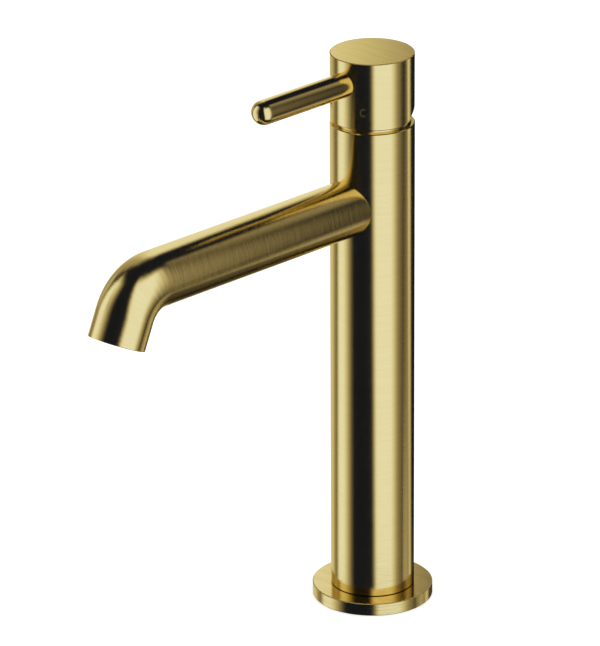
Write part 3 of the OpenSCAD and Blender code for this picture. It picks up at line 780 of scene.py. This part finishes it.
def strip_faces(count, first):
    """Four bands along the strip and a cap on each end, facing outwards."""
    ring = np.arange(count - 1)[:, None] * 4 + first
    turns = [(0, 1), (1, 2), (2, 3), (3, 0)]
    bands = [np.concatenate([ring + a, ring + b, ring + b + 4, ring + a + 4], 1) for a, b in turns]
    last = first + (count - 1) * 4
    caps = [[first + 3, first + 2, first + 1, first], [last, last + 1, last + 2, last + 3]]
    return np.concatenate(bands).tolist() + caps


def wrap_on_head(flat, side):
    """Flat (right, up) becomes a point at that arc length round the head and that height.

    Corner 0 and 3 of each four are proud of the head, and 1 and 2 are sunk in it.
    """
    angle = side + flat[..., 0] / head_radius
    radius = head_radius + np.array([PROUD, -SUNK, -SUNK, PROUD])
    return np.stack([np.sin(angle) * radius, -np.cos(angle) * radius, flat[..., 1] + LETTER_Z], -1)


def letter(name, strokes, side):
    """One object for a letter, from its strokes."""
    points, faces = [], []
    for stroke in strokes:
        corners = wrap_on_head(strip_along(stroke, STROKE), side)
        faces += strip_faces(len(stroke), sum(len(p) for p in points))
        points.append(corners.reshape(-1, 3))
    return new_object(name, np.concatenate(points), faces)


def arc(width, height, start, end):
    """Part of an ellipse, from one angle to another, in degrees."""
    angle = np.radians(np.linspace(start, end, ARC_POINTS))
    return np.stack([np.cos(angle) * width / 2, np.sin(angle) * height / 2], -1)


def bar(x0, y0, x1, y1):
    """A straight stroke, with points on the way so that it bends with the head."""
    share = np.linspace(0, 1, BAR_POINTS)[:, None]
    return np.array([[x0, y0]]) * (1 - share) + np.array([[x1, y1]]) * share


def etched(name):
    """Burnt brass: brown, matt and a little uneven."""
    material, shader = finish_named(name)
    burn = shader.noise(shader.spot(), 3000.0, detail=3.0, seed=4.2)
    shader.surface(
        Base_Color=shader.blend(burn, BURNT_DARK, BURNT_LIGHT),
        Roughness=burn * 0.2 + 0.6,
        Specular_IOR_Level=0.1,
        Normal=shader.bump(burn, depth=0.004 * MM),
    )
    return material


cold_size = (COLD_WIDTH - STROKE, LETTER_HEIGHT - STROKE)
cold_strokes = [arc(*cold_size, COLD_OPENING, 360 - COLD_OPENING)]
tall, leg = LETTER_HEIGHT / 2, HOT_HALF_WIDTH
hot_strokes = [
    bar(-leg, tall, -leg, -tall),
    bar(leg, tall, leg, -tall),
    bar(-leg + STROKE / 2, 0, leg - STROKE / 2, 0),
]
mark_cold = letter("mark_cold", cold_strokes, LETTER_SIDE)
mark_hot = letter("mark_hot", hot_strokes, -LETTER_SIDE)
burnt = etched("brushed_brass_etched")
for mark in (mark_cold, mark_hot):
    mark.data.materials.append(burnt)
    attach(mark, "handle")
    print(mark.name, len(mark.data.polygons), "faces")

# %% [markdown]
# Four holes under the mixer are tapped, and the solid pieces have them as plain bores. A
# thread is a ridge that climbs round the bore, and one grid makes it: so many points round,
# so many across the ridge, and each turn joined to the next. The ridge fades out over its
# first and last turn, as the tap runs in and out.

# %% Cut the threads
POINTS_A_TURN = 48
RIDGE = np.array([[1.0, -0.5], [0.62, -0.28], [0.62, 0.28], [1.0, 0.5]])
RIDGE_DEPTH = 1.4
RIDGE_WIDTH = 0.9
RIDGE_FOOT = 0.02
LEAST_SWELL = 0.02
PITCH = 1 * MM
THREAD_START = 0.3 * MM
STUD_HOLES = [(0.0, -12.5), (0.0, 12.5)]
STUD_RADIUS = 3 * MM
STUD_THREAD = 15 * MM
HOSE_PORTS = [(-8.0, 0.0), (8.0, 0.0)]
PORT_RADIUS = 5 * MM
PORT_THREAD = 11 * MM


def female_thread(name, radius, start_z, length, centre):
    """A helical ridge on the inside of a bore, pointing inwards. centre is in millimetres.

    Height climbs by one pitch a turn. The ridge's four corners run from the bore's wall to the
    crest and back, and the crest's depth swells from nothing over the first turn and shrinks
    over the last. Its foot sits a little inside the wall, so no slit opens between them.
    """
    x, y = centre[0] * MM, centre[1] * MM
    turns = length / PITCH - 1.0
    count = int(turns * POINTS_A_TURN)
    share = np.linspace(0, 1, count)
    angle = (share * turns * 2 * math.pi)[:, None]
    swell = np.clip(np.minimum(share, 1 - share) * turns, LEAST_SWELL, 1.0)[:, None]
    depth = (1 - RIDGE[None, :, 0]) * PITCH * RIDGE_DEPTH * swell - RIDGE_FOOT * PITCH
    across = radius - depth
    climb = (share * turns * PITCH)[:, None]
    height = start_z + PITCH / 2 + climb + RIDGE[None, :, 1] * PITCH * RIDGE_WIDTH
    around = [np.cos(angle) * across + x, np.sin(angle) * across + y, height]
    points = np.stack(around, -1).reshape(-1, 3)
    thread = new_object(name, points, thread_faces(count))
    thread.data.polygons.foreach_set("use_smooth", [True] * len(thread.data.polygons))
    return thread


def thread_faces(count):
    """Four bands along the ridge and a cap on each end."""
    ring = np.arange(count - 1)[:, None] * 4
    turns = [(0, 1), (1, 2), (2, 3), (3, 0)]
    bands = [np.concatenate([ring + b, ring + a, ring + a + 4, ring + b + 4], 1) for a, b in turns]
    last = (count - 1) * 4
    return np.concatenate(bands).tolist() + [[0, 1, 2, 3], [last + 3, last + 2, last + 1, last]]


thread_brass = turned_metal("raw_brass_thread", RAW_BRASS, TARNISH, dullness=0.14)
for number, centre in enumerate(STUD_HOLES, 1):
    name = f"stud_thread_{number}"
    thread = female_thread(name, STUD_RADIUS, THREAD_START, STUD_THREAD, centre)
    thread.data.materials.append(thread_brass)
    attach(thread, "fixed")
for side, centre in zip(("hot", "cold"), HOSE_PORTS):
    name = f"port_thread_{side}"
    start = block_underside + THREAD_START
    thread = female_thread(name, PORT_RADIUS, start, PORT_THREAD, centre)
    thread.data.materials.append(thread_brass)
    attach(thread, "fixed")
print("threads in", len(STUD_HOLES), "stud holes and", len(HOSE_PORTS), "hose ports")
